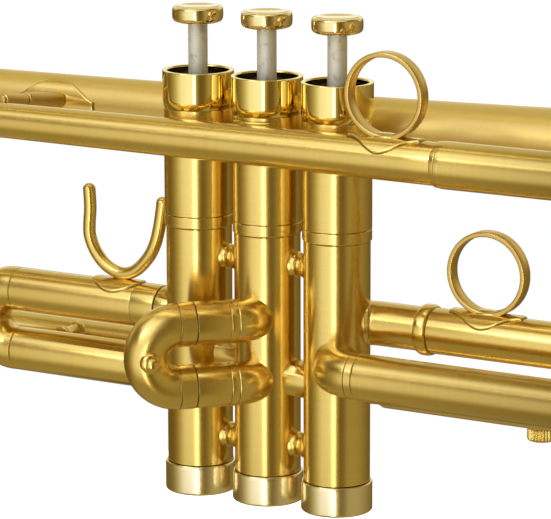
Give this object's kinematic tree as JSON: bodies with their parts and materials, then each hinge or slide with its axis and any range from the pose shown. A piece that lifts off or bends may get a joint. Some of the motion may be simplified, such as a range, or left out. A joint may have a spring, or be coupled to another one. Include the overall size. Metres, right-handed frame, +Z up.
{
  "type": "trumpet",
  "caption": "Satin brass trumpet with sprung piston valves, sliding tuning tubes, finger rings, a thumb saddle, a water key and a flared bell.",
  "frame": {"origin": "middle of the second valve's casing, on its axis, where the left hand holds the trumpet", "axes": "+X forward to the bell, +Y to the player's left, +Z up along the valves"},
  "size_m": [0.5464, 0.1258, 0.1687],
  "materials": {
    "satin_brass": "satin brushed, clear lacquered brass",
    "polished_brass": "mirror polished, lacquered brass",
    "nickel_steel": "fine turned nickel alloy",
    "spring_steel": "drawn steel wire",
    "brown_felt": "dense brown felt",
    "silver_plate": "polished silver plate"
  },
  "bodies": {
    "trumpet": {"baluster_lower_1_2": "satin_brass", "baluster_lower_2_3": "satin_brass", "baluster_upper_1_2": "satin_brass", "baluster_upper_2_3": "satin_brass", "bell": "satin_brass", "bell_bow": "satin_brass", "bottom_cap_1": "polished_brass", "bottom_cap_2": "polished_brass", "bottom_cap_3": "polished_brass", "cap_felt_1": "brown_felt", "cap_felt_2": "brown_felt", "cap_felt_3": "brown_felt", "casing_1": "satin_brass", "casing_2": "satin_brass", "casing_3": "satin_brass", "finger_ring": "satin_brass", "first_inner_tube": "satin_brass", "first_lower_sleeve": "satin_brass", "front_brace": "satin_brass", "inlet_elbow": "satin_brass", "knuckle_1_2": "satin_brass", "knuckle_2_3": "satin_brass", "leadpipe": "satin_brass", "mouthpiece_receiver": "satin_brass", "rear_brace": "satin_brass", "second_sleeve_lower": "satin_brass", "second_sleeve_upper": "satin_brass", "third_inner_tube": "satin_brass", "third_lower_sleeve": "satin_brass", "top_cap_1": "polished_brass", "top_cap_2": "polished_brass", "top_cap_3": "polished_brass", "tuning_sleeve_lower": "satin_brass", "tuning_sleeve_upper": "satin_brass", "valve_brace": "satin_brass", "valve_spring_1": "spring_steel", "valve_spring_2": "spring_steel", "valve_spring_3": "spring_steel"},
    "valve_1": {"piston_1": "nickel_steel", "stem_1": "nickel_steel", "finger_button_1": "polished_brass"},
    "valve_2": {"piston_2": "nickel_steel", "stem_2": "nickel_steel", "finger_button_2": "polished_brass"},
    "valve_3": {"piston_3": "nickel_steel", "stem_3": "nickel_steel", "finger_button_3": "polished_brass"},
    "first_slide": {"first_slide_sleeve": "satin_brass", "first_slide_bow": "satin_brass", "thumb_saddle": "satin_brass"},
    "second_slide": {"second_slide_bow": "satin_brass", "pull_knob": "satin_brass"},
    "third_slide": {"third_slide_sleeve": "satin_brass", "third_slide_bow": "satin_brass", "third_slide_ring": "satin_brass"},
    "tuning_slide": {"tuning_slide_bow": "satin_brass"},
    "water_key_lever": {"water_key": "satin_brass"},
    "lyre_thumbscrew": {"lyre_screw": "satin_brass"},
    "mouthpiece_body": {"mouthpiece": "silver_plate"}
  },
  "joints": [
    {"name": "valve_1_press", "type": "slide", "parent": "trumpet", "child": "valve_1", "axis": [0, 0, -1], "range_m": [0, 0.0165], "stiffness_N_per_m": 120, "springref_m": -0.03, "deforming": ["valve_spring_1"]},
    {"name": "valve_2_press", "type": "slide", "parent": "trumpet", "child": "valve_2", "axis": [0, 0, -1], "range_m": [0, 0.0165], "stiffness_N_per_m": 120, "springref_m": -0.03, "deforming": ["valve_spring_2"]},
    {"name": "valve_3_press", "type": "slide", "parent": "trumpet", "child": "valve_3", "axis": [0, 0, -1], "range_m": [0, 0.0165], "stiffness_N_per_m": 120, "springref_m": -0.03, "deforming": ["valve_spring_3"]},
    {"name": "first_slide_pull", "type": "slide", "parent": "trumpet", "child": "first_slide", "axis": [-1, 0, 0], "range_m": [0, 0.018]},
    {"name": "second_slide_pull", "type": "slide", "parent": "trumpet", "child": "second_slide", "axis": [-0.6947, -0.7193, 0], "range_m": [0, 0.007]},
    {"name": "third_slide_push", "type": "slide", "parent": "trumpet", "child": "third_slide", "axis": [1, 0, 0], "range_m": [0, 0.03]},
    {"name": "tuning_slide_pull", "type": "slide", "parent": "trumpet", "child": "tuning_slide", "axis": [1, 0, 0], "range_m": [0, 0.03]},
    {"name": "water_key_lift", "type": "hinge", "parent": "tuning_slide", "child": "water_key_lever", "pos_m": [0.1396, -0.018, -0.0253], "axis": [0, 1, 0], "range_deg": [0, 15], "stiffness_Nm_per_rad": 0.05, "springref_deg": -20.05},
    {"name": "lyre_screw_turn", "type": "hinge", "parent": "trumpet", "child": "lyre_thumbscrew", "pos_m": [0.0789, 0.01505, -0.032], "axis": [0, 0, 1], "range_deg": [0, 720]},
    {"name": "mouthpiece_pull", "type": "slide", "parent": "trumpet", "child": "mouthpiece_body", "axis": [-1, 0, 0], "range_m": [0, 0.03]}
  ]
}
